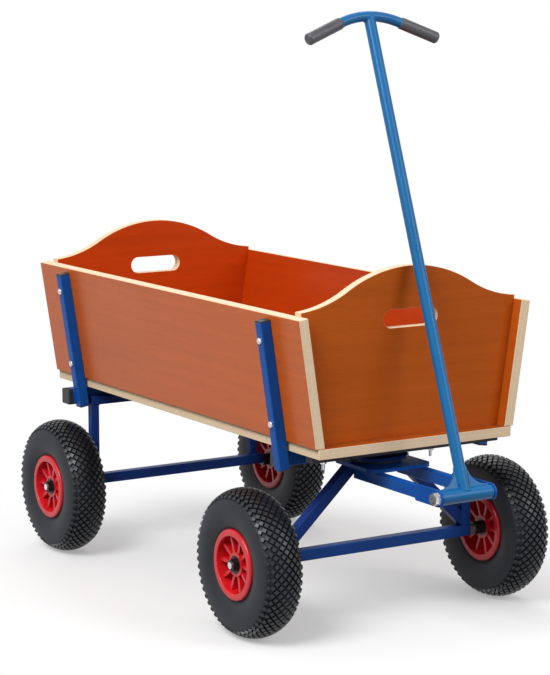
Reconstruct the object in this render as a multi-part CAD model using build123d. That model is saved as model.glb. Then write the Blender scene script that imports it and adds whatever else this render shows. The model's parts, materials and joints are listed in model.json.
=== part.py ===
from build123d import *
import os
from math import atan, cos, radians, sin, sqrt, tan

# Wooden pull wagon: plywood box on a welded tube chassis, steered by a swivelling front axle and a pull pole.
# Millimetres. X runs forward, Y to the wagon's left, Z up. Lengths along X are first measured from the middle
# of the box, and every piece is moved at the end so that the origin lies under the middle of the whole wagon.

# Running gear
tyre_d = 260.0
tyre_w = 76.0
front_track = 523.0
rear_track = 508.0
front_overhang = 126.5
rear_overhang = 116.5
axle_d = 16.0
spindle_d = 12.0
spindle_hold = 40.0
rear_beam = 19.5
rear_beam_rise = 4.5

# Box
floor_length = 965.0
floor_width = 401.0
floor_t = 18.0
floor_top_z = 341.5
wall_t = 19.0
wall_end_gap = 2.0
wall_slope_height = 222.0
wall_lean = 8.7
wall_overhang = 6.5
end_recess = 21.5
shoulder_z = 569.5
hump_rise = 66.5
hump_foot_y = 240.0
hump_turn_y = 128.0
slot_length = 112.0
slot_height = 32.0
slot_z = 547.0
edge_ease = 0.8
dowel_d = 8.0
dowel_depth = 11.0
dowel_spacing = 70.0
dowel_first = 40.0
floor_dowel_y = 130.0

# Chassis tubes
front_tube = 30.0
rear_tube = 30.0
cross_wall = 2.0
front_tube_length = 414.0
rear_tube_length = 445.0
tube_round = 2.0
pad_t = 6.0
pad_length = 60.0
stake_tube = 20.0
light_wall = 1.5
front_stake_drop = 48.0
rear_stake_drop = 53.5
stake_rise = 211.0
plug_head = 3.0
rear_cap_head = 12.0
plug_depth = 12.0
leg_tube = 17.0
leg_end_gap = 14.2
rail_drop = 2.5
strip_w = 20.0
strip_h = 12.0
strip_length = 390.0
strip_set_back = 30.5

# Fasteners
bolt_d = 6.0
nut_af = 10.0
nut_h = 5.0
washer_d = 13.0
washer_t = 1.2
stake_head_d = 12.0
stake_head_h = 4.0
stake_head_round = 2.5
bolt_end = 3.0
front_bolt_end = 11.0
rear_bolt_end = 3.0
hole_clear = 0.2
insert_d = 9.0
insert_length = 14.0
stake_bolt_low_height = 33.5
stake_bolt_high_height = 180.0
floor_bolt_y = 114.0
floor_bolt_forward = 6.0
floor_head_d = 13.0
floor_head_h = 3.6

# Swivel and fork
upper_plate = 100.0
upper_plate_t = 6.0
slip_ring_d = 90.0
slip_ring_t = 4.0
face_gap = 0.3
swivel_plate_t = 6.0
swivel_back_length = 45.0
swivel_front_length = 86.0
swivel_width = 130.0
swivel_corner = 22.0
kingpin_d = 16.0
run_clear = 0.05
big_nut_af = 24.0
big_nut_h = 10.0
big_washer_d = 30.0
big_washer_t = 2.5
pin_end = 4.0
beam_tube = 20.0
beam_end_gap = 11.2
beam_wall = 2.0
front_leg_rise = 43.0
strut_foot_rise = 14.0
strut_top_y = 51.4
arm_w = 14.0
arm_h = 22.0
arm_y = 46.0
arm_end_gap = 28.5
lug_t = 3.5
lug_r = 14.0
lug_lap = 40.0
hinge_reach = 136.5
hinge_drop = 10.0
hinge_bolt_d = 12.0
hinge_head_af = 19.0
hinge_head_h = 9.0
hinge_washer_d = 22.0

# Pull pole
tee_d = 24.0
tee_wall = 2.5
tee_end_gap = 0.5
bush_length = 25.0
stop_w = 12.0
stop_foot = 2.0
stop_root = 9.5
pole_d = 20.0
pole_wall = 2.0
pole_length = 839.0
pole_lean = 20.4
gusset_t = 4.0
gusset_rise = 36.0
gusset_reach = 50.0
gusset_land = 2.5
bar_d = 18.0
bar_wall = 2.0
bar_bend_r = 163.0
bar_bend_angle = 22.0
grip_d = 21.0
grip_length = 79.0
grip_end = 4.0

# Wheel
rim_flange_r = 62.0
rim_flange_y = 29.5
rim_flange_t = 5.5
flange_round = 4.0
bead_seat_r = 50.0
rim_wall = 4.0
web_t = 5.0
hub_half = 27.0
hub_r = 21.0
hub_clear_r = 8.0
bearing_d = 32.0
bearing_w = 10.0
rib_count = 10
rib_t = 5.5
rib_hub_y = 25.0
rib_rim_y = 27.0
lip_round = 1.5
rim_bolt_count = 5
rim_bolt_r = 36.0
bead_gap = 18.0
sidewall_r = 92.0
shoulder_r = 118.5
shoulder_y = 33.0
tread_rows = 7
tread_row_angle = 10.0
tread_groove_w = 3.6
tread_depth = 3.0
tube_centre_r = 90.5
tube_cavity_r = 33.0
tube_slack = 0.5
tube_wall = 2.5
valve_d = 8.0
valve_y = 10.0
valve_tip_r = 37.0
collar_d = 24.0
collar_length = 20.0
axle_nut_af = 19.0
axle_nut_h = 7.0
axle_washer_d = 24.0
axle_washer_t = 2.0
axle_end = 2.0

# Levels and places that follow from the sizes above
axle_z = tyre_d / 2
floor_under_z = floor_top_z - floor_t
front_under_z = floor_under_z - front_tube
rear_under_z = floor_under_z - pad_t - rear_tube
swivel_top_z = front_under_z - upper_plate_t - face_gap - slip_ring_t
arm_top_z = swivel_top_z - swivel_plate_t
hinge_z = arm_top_z - hinge_drop
kingpin_x = floor_length / 2 - front_overhang
rear_axle_x = rear_overhang - floor_length / 2
hinge_x = floor_length / 2 + hinge_reach
rear_tube_x = rear_axle_x - leg_tube / 2 - rear_tube / 2
rear_beam_top_z = axle_z + rear_beam_rise + rear_beam / 2
wall_length = floor_length - 2 * wall_end_gap
wall_foot_y = floor_width / 2 + wall_overhang
end_face_x = wall_length / 2 - end_recess
end_mid_x = end_face_x - wall_t / 2
tracks = {"front": front_track, "rear": rear_track}
axle_xs = {"front": kingpin_x, "rear": rear_axle_x}
collar_reach = hub_half + face_gap + collar_length
beam_half = front_track / 2 - collar_reach - beam_end_gap
leg_y = rear_track / 2 - collar_reach - leg_end_gap - leg_tube / 2
arm_outer_y = arm_y + arm_w / 2
arm_back_x = kingpin_x + beam_tube / 2
arm_front_x = hinge_x - arm_end_gap
lug_outer_y = arm_outer_y + lug_t
tee_half = arm_outer_y - tee_end_gap
cross_xs = {"front": kingpin_x, "rear": rear_tube_x}
cross_sizes = {"front": front_tube, "rear": rear_tube}
cross_unders = {"front": front_under_z, "rear": rear_under_z}
cross_lengths = {"front": front_tube_length, "rear": rear_tube_length}
cross_heads = {"front": plug_head, "rear": rear_cap_head}
stake_drops = {"front": front_stake_drop, "rear": rear_stake_drop}
bolt_ends = {"front": front_bolt_end, "rear": rear_bolt_end}
bolt_seats = {"front": front_under_z, "rear": floor_under_z - pad_t - cross_wall}
middle_x = (hinge_x + lug_r + rear_axle_x - tyre_d / 2) / 2
left_wall = Location((0, wall_foot_y, floor_top_z), (-wall_lean, 0, 0))
drawbar_place = Location((hinge_x, 0, hinge_z), (0, -pole_lean, 0))
low = (Align.CENTER, Align.CENTER, Align.MIN)


def block(x0, x1, y0, y1, z0, z1):
    return Pos((x0 + x1) / 2, (y0 + y1) / 2, (z0 + z1) / 2) * Box(x1 - x0, y1 - y0, z1 - z0)


def rod(radius, start, end):
    length = (Vector(*end) - Vector(*start)).length
    return Plane(origin=start, z_dir=Vector(*end) - Vector(*start)) * Cylinder(radius, length, align=low)


def ring(outer_r, inner_r, start, end):
    return rod(outer_r, start, end) - rod(inner_r, start, end)


def hexagon(flats, start, end):
    length = (Vector(*end) - Vector(*start)).length
    face = RegularPolygon(flats / 2, 6, major_radius=False)
    return Plane(origin=start, z_dir=Vector(*end) - Vector(*start)) * extrude(face, length)


def hex_nut(flats, bore_r, start, end):
    return hexagon(flats, start, end) - rod(bore_r, start, end)


def box_tube(wall, x0, x1, y0, y1, z0, z1, along):
    axis = {"x": Axis.X, "y": Axis.Y, "z": Axis.Z}[along]
    outside = block(x0, x1, y0, y1, z0, z1)
    outside = fillet(outside.edges().filter_by(axis), tube_round)
    inset = [0 if along == name else wall for name in "xyz"]
    return outside - block(x0 + inset[0], x1 - inset[0], y0 + inset[1], y1 - inset[1],
                           z0 + inset[2], z1 - inset[2])


def other_side(solid):
    return mirror(solid, about=Plane.XZ)


def both_sides(solid):
    return [solid, other_side(solid)]


def wall_y(z):
    return wall_foot_y + (z - floor_top_z) * tan(radians(wall_lean))


# Plywood box
def end_panel_dowels():
    dowels = []
    for end in (1, -1):
        x = end * end_mid_x
        for step in range(3):
            height = dowel_first + step * dowel_spacing
            seat = left_wall * Pos(x, -wall_t, height)
            dowel = seat * rod(dowel_d / 2, (0, -2 * dowel_depth, 0), (0, dowel_depth, 0))
            dowels += both_sides(dowel)
        for y in (-floor_dowel_y, 0, floor_dowel_y):
            foot = (x, y, floor_top_z - dowel_depth)
            dowels.append(rod(dowel_d / 2, foot, (x, y, floor_top_z + 2 * dowel_depth)))
    return dowels


def floor_bolt_places(end):
    x = cross_xs[end] + floor_bolt_forward
    return [(x, -floor_bolt_y), (x, floor_bolt_y)]


def floor_panel():
    panel = block(-floor_length / 2, floor_length / 2, -floor_width / 2, floor_width / 2,
                  floor_under_z, floor_top_z)
    panel = chamfer(panel.edges(), edge_ease)
    for x, y in floor_bolt_places("front") + floor_bolt_places("rear"):
        panel -= rod(bolt_d / 2 + hole_clear, (x, y, floor_under_z), (x, y, floor_top_z))
        panel -= Pos(x, y, floor_top_z - floor_head_h / 2) * Cone(bolt_d / 2, floor_head_d / 2, floor_head_h)
    for dowel in end_panel_dowels():
        panel -= dowel
    return panel


def stake_bolt_heights():
    return (stake_bolt_low_height, stake_bolt_high_height)


def stake_xs():
    return {end: x + cross_sizes[end] / 2 + stake_tube / 2 for end, x in cross_xs.items()}


def left_side_panel():
    foot = wall_t * tan(radians(wall_lean))
    board = block(-wall_length / 2, wall_length / 2, -wall_t, 0, -foot, wall_slope_height)
    panel = left_wall * board
    below = block(-wall_length, wall_length, 0, 2 * wall_foot_y, 0, floor_top_z)
    panel = chamfer((panel - below).edges(), edge_ease)
    for x in stake_xs().values():
        for height in stake_bolt_heights():
            panel -= left_wall * rod(insert_d / 2, (x, -insert_length, height), (x, 0, height))
    for dowel in end_panel_dowels():
        panel -= dowel
    return panel


def end_outline():
    sweep_half = atan(hump_rise / hump_foot_y)
    sweep_full = 2 * sweep_half
    crown_r = hump_turn_y / sin(sweep_full)
    flare_r = (hump_foot_y - hump_turn_y) / sin(sweep_full)
    top_z = shoulder_z + hump_rise
    turn_z = top_z - crown_r * (1 - cos(sweep_full))
    flare_mid_y = hump_foot_y - flare_r * sin(sweep_half)
    flare_mid_z = shoulder_z + flare_r * (1 - cos(sweep_half))
    right = ThreePointArc((0, -hump_foot_y, shoulder_z), (0, -flare_mid_y, flare_mid_z),
                          (0, -hump_turn_y, turn_z))
    crown = ThreePointArc((0, -hump_turn_y, turn_z), (0, 0, top_z), (0, hump_turn_y, turn_z))
    left = ThreePointArc((0, hump_turn_y, turn_z), (0, flare_mid_y, flare_mid_z),
                         (0, hump_foot_y, shoulder_z))
    foot = Polyline((0, hump_foot_y, shoulder_z), (0, hump_foot_y, floor_top_z),
                    (0, -hump_foot_y, floor_top_z), (0, -hump_foot_y, shoulder_z))
    return make_face(right + crown + left + foot)


def end_width_limit():
    inside = wall_t / cos(radians(wall_lean))
    top_z = shoulder_z + hump_rise
    foot_y = wall_y(floor_top_z) - inside
    top_y = wall_y(top_z) - inside
    return make_face(Polyline((0, -foot_y, floor_top_z), (0, foot_y, floor_top_z), (0, top_y, top_z),
                              (0, -top_y, top_z), close=True))


def end_panel():
    face = end_outline() & end_width_limit()
    panel = extrude(face, wall_t, dir=(1, 0, 0))
    straight = slot_length - slot_height
    slot = block(0, wall_t, -straight / 2, straight / 2, slot_z - slot_height / 2, slot_z + slot_height / 2)
    for y in (-straight / 2, straight / 2):
        slot += rod(slot_height / 2, (0, y, slot_z), (wall_t, y, slot_z))
    panel = chamfer((panel - slot).edges().filter_by(Plane.YZ), edge_ease)
    return panel


def front_end_panel():
    panel = Pos(end_face_x - wall_t, 0, 0) * end_panel()
    for dowel in end_panel_dowels():
        panel -= dowel
    return panel


def rear_end_panel():
    return mirror(front_end_panel(), about=Plane.YZ)


# Chassis
def cross_tube(end):
    half = cross_sizes[end] / 2
    under = cross_unders[end]
    reach = cross_lengths[end] / 2
    tube = box_tube(cross_wall, cross_xs[end] - half, cross_xs[end] + half, -reach, reach, under,
                    under + 2 * half, "y")
    for x, y in floor_bolt_places(end):
        tube -= rod(bolt_d / 2 + hole_clear, (x, y, bolt_seats[end]), (x, y, under + 2 * half))
    return tube


def front_cross_tube():
    pin_hole = rod(kingpin_d / 2, (kingpin_x, 0, front_under_z), (kingpin_x, 0, front_under_z + cross_wall))
    return cross_tube("front") - pin_hole


def rear_tube_pads():
    pads = []
    half = rear_tube / 2 - tube_round
    for x, y in floor_bolt_places("rear"):
        pad = block(rear_tube_x - half, rear_tube_x + half, y - pad_length / 2, y + pad_length / 2,
                    floor_under_z - pad_t, floor_under_z)
        pads.append(pad - rod(bolt_d / 2 + hole_clear, (x, y, floor_under_z - pad_t), (x, y, floor_under_z)))
    return pads


def front_floor_strip():
    front = floor_length / 2 - strip_set_back
    return block(front - strip_w, front, -strip_length / 2, strip_length / 2,
                 floor_under_z - strip_h, floor_under_z)


def left_stake(end):
    x = stake_xs()[end]
    tube = box_tube(light_wall, x - stake_tube / 2, x + stake_tube / 2, 0, stake_tube,
                    -stake_drops[end], stake_rise, "z")
    for height in stake_bolt_heights():
        tube -= rod(bolt_d / 2 + hole_clear, (x, 0, height), (x, stake_tube, height))
    return left_wall * tube


def stake_plug(x, height, up):
    inner = stake_tube - 2 * light_wall
    middle = Pos(x, stake_tube / 2, height)
    stem = middle * Pos(0, 0, -up * plug_depth / 2) * Box(inner, inner, plug_depth)
    cap = middle * Pos(0, 0, up * plug_head / 2) * Box(stake_tube, stake_tube, plug_head)
    edges = cap.edges().filter_by(GeomType.LINE).group_by(Axis.Z)[-1 if up > 0 else 0]
    return left_wall * (stem + chamfer(edges, plug_head / 2))


def cross_plug(end):
    size = cross_sizes[end]
    inner = size - 2 * cross_wall
    middle = Pos(cross_xs[end], cross_lengths[end] / 2, cross_unders[end] + size / 2)
    head = cross_heads[end]
    stem = middle * Pos(0, -plug_depth / 2, 0) * Box(inner, plug_depth, inner)
    cap = Pos(0, head / 2, 0) * Box(size, head, size)
    cap = fillet(cap.edges().filter_by(Axis.Y), tube_round)
    return stem + middle * chamfer(cap.edges().group_by(Axis.Y)[-1], plug_head / 2)


def tube_plugs():
    plugs = []
    for end, x in stake_xs().items():
        plugs += both_sides(stake_plug(x, stake_rise, 1))
        plugs += both_sides(stake_plug(x, -stake_drops[end], -1))
        plugs += both_sides(cross_plug(end))
    return plugs


def stake_bolts():
    bolts = []
    for x in stake_xs().values():
        for height in stake_bolt_heights():
            shank = rod(bolt_d / 2, (x, -insert_length, height), (x, stake_tube, height))
            head = rod(stake_head_d / 2, (x, stake_tube, height), (x, stake_tube + stake_head_h, height))
            head = fillet(head.edges().group_by(Axis.Y)[-1], stake_head_round)
            bolts += both_sides(left_wall * (shank + head))
    return bolts


def stake_inserts():
    inserts = []
    for x in stake_xs().values():
        for height in stake_bolt_heights():
            sleeve = ring(insert_d / 2, bolt_d / 2, (x, -insert_length, height), (x, 0, height))
            inserts += both_sides(left_wall * sleeve)
    return inserts


def floor_bolt_set(x, y, end):
    seat = bolt_seats[end]
    nut_top = seat - washer_t
    head = Pos(x, y, floor_top_z - floor_head_h / 2) * Cone(bolt_d / 2, floor_head_d / 2, floor_head_h)
    bolt = head + rod(bolt_d / 2, (x, y, nut_top - nut_h - bolt_ends[end]), (x, y, floor_top_z))
    washer = ring(washer_d / 2, bolt_d / 2 + hole_clear, (x, y, nut_top), (x, y, seat))
    nut = hex_nut(nut_af, bolt_d / 2, (x, y, nut_top - nut_h), (x, y, nut_top))
    return [bolt, washer, nut]


def floor_bolts():
    pieces = []
    for end in cross_xs:
        for x, y in floor_bolt_places(end):
            pieces += floor_bolt_set(x, y, end)
    return pieces


# Axles
def with_spindles(bar, end):
    x = axle_xs[end]
    start_y = tracks[end] / 2 - collar_reach - spindle_hold
    end_y = tracks[end] / 2 + hub_half + face_gap + axle_washer_t + axle_nut_h + axle_end
    for spindle in both_sides(rod(spindle_d / 2, (x, start_y, axle_z), (x, end_y, axle_z))):
        bar += spindle
    return bar


def front_axle_bar():
    back_y = front_track / 2 - collar_reach
    bar = rod(axle_d / 2, (kingpin_x, -back_y, axle_z), (kingpin_x, back_y, axle_z))
    return with_spindles(bar, "front")


def rear_axle_bar():
    back_y = rear_track / 2 - collar_reach
    half = rear_beam / 2
    beam = box_tube(beam_wall, rear_axle_x - half, rear_axle_x + half, -back_y, back_y,
                    rear_beam_top_z - rear_beam, rear_beam_top_z, "y")
    return with_spindles(beam, "rear")


def axle_fasteners(end):
    x = axle_xs[end]
    bore = spindle_d / 2
    back_y = tracks[end] / 2 - collar_reach
    washer_y = tracks[end] / 2 + hub_half + face_gap
    nut_y = washer_y + axle_washer_t
    pieces = []
    pieces += both_sides(ring(collar_d / 2, bore, (x, back_y, axle_z), (x, back_y + collar_length, axle_z)))
    pieces += both_sides(ring(axle_washer_d / 2, bore, (x, washer_y, axle_z), (x, nut_y, axle_z)))
    pieces += both_sides(hex_nut(axle_nut_af, bore, (x, nut_y, axle_z), (x, nut_y + axle_nut_h, axle_z)))
    return pieces


def rear_legs():
    back_x = rear_axle_x - leg_tube / 2
    end_y = leg_y + leg_tube / 2
    rail_z = rear_under_z - rail_drop
    rail = box_tube(light_wall, back_x, back_x + leg_tube, -end_y, end_y, rail_z, rail_z + leg_tube, "y")
    leg = box_tube(light_wall, back_x, back_x + leg_tube, end_y - leg_tube, end_y,
                   rear_beam_top_z, rail_z, "z")
    return [rail] + both_sides(leg)


def front_axle_beam():
    return box_tube(beam_wall, kingpin_x - beam_tube / 2, kingpin_x + beam_tube / 2,
                    -beam_half, beam_half, axle_z - beam_tube / 2, axle_z + beam_tube / 2, "y")


def front_legs():
    foot = axle_z + beam_tube / 2
    top = foot + front_leg_rise
    leg = box_tube(light_wall, kingpin_x - beam_tube / 2, kingpin_x + beam_tube / 2,
                   beam_half - beam_tube, beam_half, foot, top, "z")
    inner = beam_tube / 2 - light_wall
    middle_y = beam_half - beam_tube / 2
    lid = block(kingpin_x - inner, kingpin_x + inner, middle_y - inner, middle_y + inner, top - light_wall, top)
    return both_sides(leg + lid)


def strut_band(width, depth):
    foot = (beam_half - beam_tube, axle_z + beam_tube / 2 + strut_foot_rise)
    top = (strut_top_y, arm_top_z)
    run = foot[0] - top[0]
    rise = top[1] - foot[1]
    length = sqrt(run ** 2 + rise ** 2)
    foot_half = width / 2 * length / run
    top_half = width / 2 * length / rise
    back_x = kingpin_x - depth / 2
    outline = Polyline((back_x, foot[0], foot[1] - foot_half), (back_x, foot[0], foot[1] + foot_half),
                       (back_x, top[0] + top_half, top[1]), (back_x, top[0] - top_half, top[1]), close=True)
    return extrude(make_face(outline), depth, dir=(1, 0, 0))


def front_left_strut():
    inner = beam_tube - 2 * light_wall
    outside = strut_band(beam_tube, beam_tube)
    outside = fillet(outside.edges().sort_by(SortBy.LENGTH)[-4:], tube_round)
    return outside - strut_band(inner, inner)


# Swivel
def upper_swivel_plate():
    plate = block(kingpin_x - upper_plate / 2, kingpin_x + upper_plate / 2, -upper_plate / 2, upper_plate / 2,
                  front_under_z - upper_plate_t, front_under_z)
    plate = chamfer(plate.edges().filter_by(Axis.Z), upper_plate / 5)
    return plate - kingpin_shank()


def kingpin_shank():
    end_z = arm_top_z - face_gap - big_washer_t - big_nut_h - pin_end
    return rod(kingpin_d / 2, (kingpin_x, 0, end_z), (kingpin_x, 0, floor_under_z - cross_wall))


def kingpin_nut():
    washer_z = arm_top_z - face_gap
    nut_z = washer_z - big_washer_t
    washer = ring(big_washer_d / 2, kingpin_d / 2, (kingpin_x, 0, nut_z), (kingpin_x, 0, washer_z))
    nut = hex_nut(big_nut_af, kingpin_d / 2, (kingpin_x, 0, nut_z - big_nut_h), (kingpin_x, 0, nut_z))
    return [washer, nut]


def slip_ring():
    return ring(slip_ring_d / 2, kingpin_d / 2 + face_gap, (kingpin_x, 0, swivel_top_z),
                (kingpin_x, 0, swivel_top_z + slip_ring_t))


def swivel_plate():
    plate = block(kingpin_x - swivel_back_length, kingpin_x + swivel_front_length, -swivel_width / 2,
                  swivel_width / 2, arm_top_z, swivel_top_z)
    plate = fillet(plate.edges().filter_by(Axis.Z), swivel_corner)
    return plate - rod(kingpin_d / 2 + run_clear, (kingpin_x, 0, arm_top_z), (kingpin_x, 0, swivel_top_z))


# Fork and hinge
def left_fork_arm():
    under = arm_top_z - arm_h
    inner = arm_w / 2 - light_wall
    arm = box_tube(light_wall, arm_back_x, arm_front_x, arm_y - arm_w / 2, arm_outer_y, under, arm_top_z, "x")
    lid = block(arm_front_x - light_wall, arm_front_x, arm_y - inner, arm_y + inner, under + light_wall,
                arm_top_z - light_wall)
    return arm + lid


def fork_lugs():
    start = arm_front_x - lug_lap
    lug = block(start, hinge_x, arm_outer_y, lug_outer_y, hinge_z - lug_r, hinge_z + lug_r)
    lug = chamfer(lug.edges().filter_by(Axis.Y).group_by(Axis.X)[0], lug_r / 2)
    lug += rod(lug_r, (hinge_x, arm_outer_y, hinge_z), (hinge_x, lug_outer_y, hinge_z))
    bore = rod(hinge_bolt_d / 2, (hinge_x, arm_outer_y, hinge_z), (hinge_x, lug_outer_y, hinge_z))
    return both_sides(lug - bore)


def hinge_bolt():
    head_y = -lug_outer_y - washer_t
    shank = rod(hinge_bolt_d / 2, (hinge_x, head_y, hinge_z), (hinge_x, lug_outer_y, hinge_z))
    return shank + hexagon(hinge_head_af, (hinge_x, head_y - hinge_head_h, hinge_z), (hinge_x, head_y, hinge_z))


def hinge_washer():
    return ring(hinge_washer_d / 2, hinge_bolt_d / 2, (hinge_x, -lug_outer_y - washer_t, hinge_z),
                (hinge_x, -lug_outer_y, hinge_z))


# Pull pole, drawn upright about the hinge
def tee_outside():
    return rod(tee_d / 2, (0, -tee_half, 0), (0, tee_half, 0))


def stop_ears():
    ear = block(face_gap - arm_end_gap, -stop_root, arm_y - stop_w / 2, arm_y + stop_w / 2,
                stop_foot, hinge_drop)
    return both_sides(Rot(0, pole_lean, 0) * ear)


def tee_bar():
    bore_r = tee_d / 2 - tee_wall
    bar = tee_outside()
    for ear in stop_ears():
        bar += ear
    return drawbar_place * (bar - rod(bore_r, (0, -tee_half, 0), (0, tee_half, 0)))


def hinge_bushes():
    bush = ring(tee_d / 2 - tee_wall, hinge_bolt_d / 2 + run_clear, (0, tee_half - bush_length, 0),
                (0, tee_half, 0))
    return [drawbar_place * piece for piece in both_sides(bush)]


def handlebar_point(reach):
    turn = radians(bar_bend_angle)
    y = bar_bend_r * sin(turn) + reach * cos(turn)
    return (0, y, pole_length - bar_bend_r * (1 - cos(turn)) - reach * sin(turn))


def handlebar_rod(radius):
    middle_z = pole_length - bar_bend_r
    circle = Plane(origin=(0, 0, pole_length), z_dir=(0, 1, 0)) * Circle(radius)
    bend = revolve(circle, Axis((0, 0, middle_z), (-1, 0, 0)), 2 * bar_bend_angle)
    bend = Pos(0, 0, middle_z) * Rot(bar_bend_angle, 0, 0) * Pos(0, 0, -middle_z) * bend
    end = rod(radius, handlebar_point(0), handlebar_point(grip_length - grip_end))
    return bend + end + other_side(end)


def handlebar():
    return drawbar_place * (handlebar_rod(bar_d / 2) - handlebar_rod(bar_d / 2 - bar_wall))


def left_grip():
    grip = rod(grip_d / 2, handlebar_point(0), handlebar_point(grip_length))
    grip = fillet(grip.edges().filter_by(GeomType.CIRCLE), grip_end)
    return drawbar_place * (grip - handlebar_rod(bar_d / 2))


def pole():
    tube = ring(pole_d / 2, pole_d / 2 - pole_wall, (0, 0, 0), (0, 0, pole_length))
    return drawbar_place * (tube - tee_outside() - handlebar_rod(bar_d / 2))


def pole_gussets():
    top_z = tee_d / 2 + gusset_rise
    tip_z = tee_d / 2 + gusset_land
    side_y = pole_d / 2 + gusset_land
    hollow = 1 - sqrt(0.5)
    waist = (0, side_y + (gusset_reach - side_y) * hollow, tip_z + (top_z - tip_z) * hollow)
    outline = Polyline((0, gusset_reach, tip_z), (0, gusset_reach, 0), (0, 0, 0), (0, 0, top_z),
                       (0, side_y, top_z))
    outline += ThreePointArc((0, side_y, top_z), waist, (0, gusset_reach, tip_z))
    plate = extrude(make_face(outline), gusset_t / 2, dir=(1, 0, 0), both=True)
    plate = plate - rod(pole_d / 2, (0, 0, 0), (0, 0, pole_length)) - tee_outside()
    return [drawbar_place * piece for piece in both_sides(plate)]


# Wheel, drawn about its own axle with the outer side towards +Y
def tread_grooves():
    drop = tyre_d / 2 - shoulder_r
    crown_r = (drop ** 2 + shoulder_y ** 2) / (2 * drop)
    crown = Pos(tyre_d / 2 - crown_r, 0)
    turns = [tread_row_angle * (row - tread_rows / 2) for row in range(1, tread_rows)]
    groove = Pos(crown_r, 0) * Rectangle(2 * tread_depth, tread_groove_w)
    return [crown * Rot(0, 0, turn) * groove for turn in turns]


def tyre_section():
    seat = bead_seat_r + face_gap
    edge = rim_flange_y - face_gap
    flank = rim_flange_r + face_gap
    outline = Polyline((flank, edge), (seat, edge), (seat, -edge), (flank, -edge))
    outline += ThreePointArc((flank, -edge), (sidewall_r, -tyre_w / 2), (shoulder_r, -shoulder_y))
    outline += ThreePointArc((shoulder_r, -shoulder_y), (tyre_d / 2, 0), (shoulder_r, shoulder_y))
    outline += ThreePointArc((shoulder_r, shoulder_y), (sidewall_r, tyre_w / 2), (flank, edge))
    cavity = Pos(tube_centre_r, 0) * Circle(tube_cavity_r)
    mouth = Pos((seat + tube_centre_r) / 2, 0) * Rectangle(tube_centre_r - seat, 2 * bead_gap)
    return make_face(outline) - cavity - mouth - tread_grooves()


def wheel_tyre():
    return revolve(tyre_section(), Axis.Y)


def valve(radius):
    turn = 1.5 * 360 / rib_count
    start_r = tube_centre_r - sqrt((tube_cavity_r - tube_slack - tube_wall / 2) ** 2 - valve_y ** 2)
    return Rot(0, turn, 0) * rod(radius, (start_r, valve_y, 0), (valve_tip_r, valve_y, 0))


def wheel_inner_tube():
    outer_r = tube_cavity_r - tube_slack
    wall = Circle(outer_r) - Circle(outer_r - tube_wall)
    return revolve(Pos(tube_centre_r, 0) * wall, Axis.Y) + valve(valve_d / 2)


def rim_section():
    lip_y = rim_flange_y + rim_flange_t
    well_r = bead_seat_r - rim_wall
    seat_y = hub_half - bearing_w
    return make_face(Polyline(
        (hub_clear_r, 0), (bead_seat_r, 0), (bead_seat_r, rim_flange_y), (rim_flange_r, rim_flange_y),
        (rim_flange_r, lip_y), (bead_seat_r, lip_y), (well_r, web_t), (hub_r, web_t), (hub_r, hub_half),
        (bearing_d / 2, hub_half), (bearing_d / 2, seat_y), (hub_clear_r, seat_y), close=True))


def rim_rib():
    well_r = bead_seat_r - rim_wall / 2
    inner_r = hub_r - rib_t / 2
    outline = Polyline((inner_r, 0, 0), (well_r, 0, 0), (well_r, rib_rim_y, 0), (inner_r, rib_hub_y, 0),
                       close=True)
    return extrude(make_face(outline), rib_t / 2, dir=(0, 0, 1), both=True)


def rim_bolt_turns():
    return [360 / rib_count * (0.5 + 2 * step) for step in range(rim_bolt_count)]


def lip_circles(half):
    return half.edges().filter_by(GeomType.CIRCLE).group_by(Axis.Y)[-1].sort_by(SortBy.RADIUS)


def rim_half():
    half = revolve(rim_section(), Axis.Y)
    half = fillet(lip_circles(half)[-1], flange_round)
    half = fillet(lip_circles(half)[0], lip_round)
    for step in range(rib_count):
        half += Rot(0, 360 / rib_count * step, 0) * rim_rib()
    for turn in rim_bolt_turns():
        half -= Rot(0, turn, 0) * rod(bolt_d / 2 + hole_clear, (rim_bolt_r, 0, 0), (rim_bolt_r, web_t, 0))
    return half


def wheel_rim():
    half = rim_half()
    return [half - valve(valve_d / 2 + face_gap), other_side(half)]


def wheel_hub_hardware():
    pieces = []
    bearing = ring(bearing_d / 2, spindle_d / 2 + run_clear, (0, hub_half - bearing_w, 0), (0, hub_half, 0))
    pieces += both_sides(bearing)
    for turn in rim_bolt_turns():
        spot = Rot(0, turn, 0) * Pos(rim_bolt_r, 0, 0)
        head = hexagon(nut_af, (0, web_t, 0), (0, web_t + nut_h, 0))
        shank = rod(bolt_d / 2, (0, -web_t - nut_h - bolt_end, 0), (0, web_t, 0))
        pieces.append(spot * (head + shank))
        pieces.append(spot * hex_nut(nut_af, bolt_d / 2, (0, -web_t - nut_h, 0), (0, -web_t, 0)))
    return pieces


def wheel_pieces():
    return {"tyre": [wheel_tyre()], "inner_tube": [wheel_inner_tube()], "rim": wheel_rim(),
            "hub_hardware": wheel_hub_hardware()}


def write(node, pieces):
    pieces = pieces if isinstance(pieces, list) else [pieces]
    place = Pos(-middle_x, 0, 0)
    solids = [place * solid for piece in pieces for solid in piece.solids()]
    shape = solids[0] if len(solids) == 1 else Compound(solids)
    export_step(shape, f"parts/{node}.step")


def write_wheels():
    pieces = wheel_pieces()
    for end, x in axle_xs.items():
        for name, solids in pieces.items():
            left = [Pos(x, tracks[end] / 2, axle_z) * solid for solid in solids]
            write(f"{end}_left_{name}", left)
            write(f"{end}_right_{name}", [other_side(solid) for solid in left])


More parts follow.
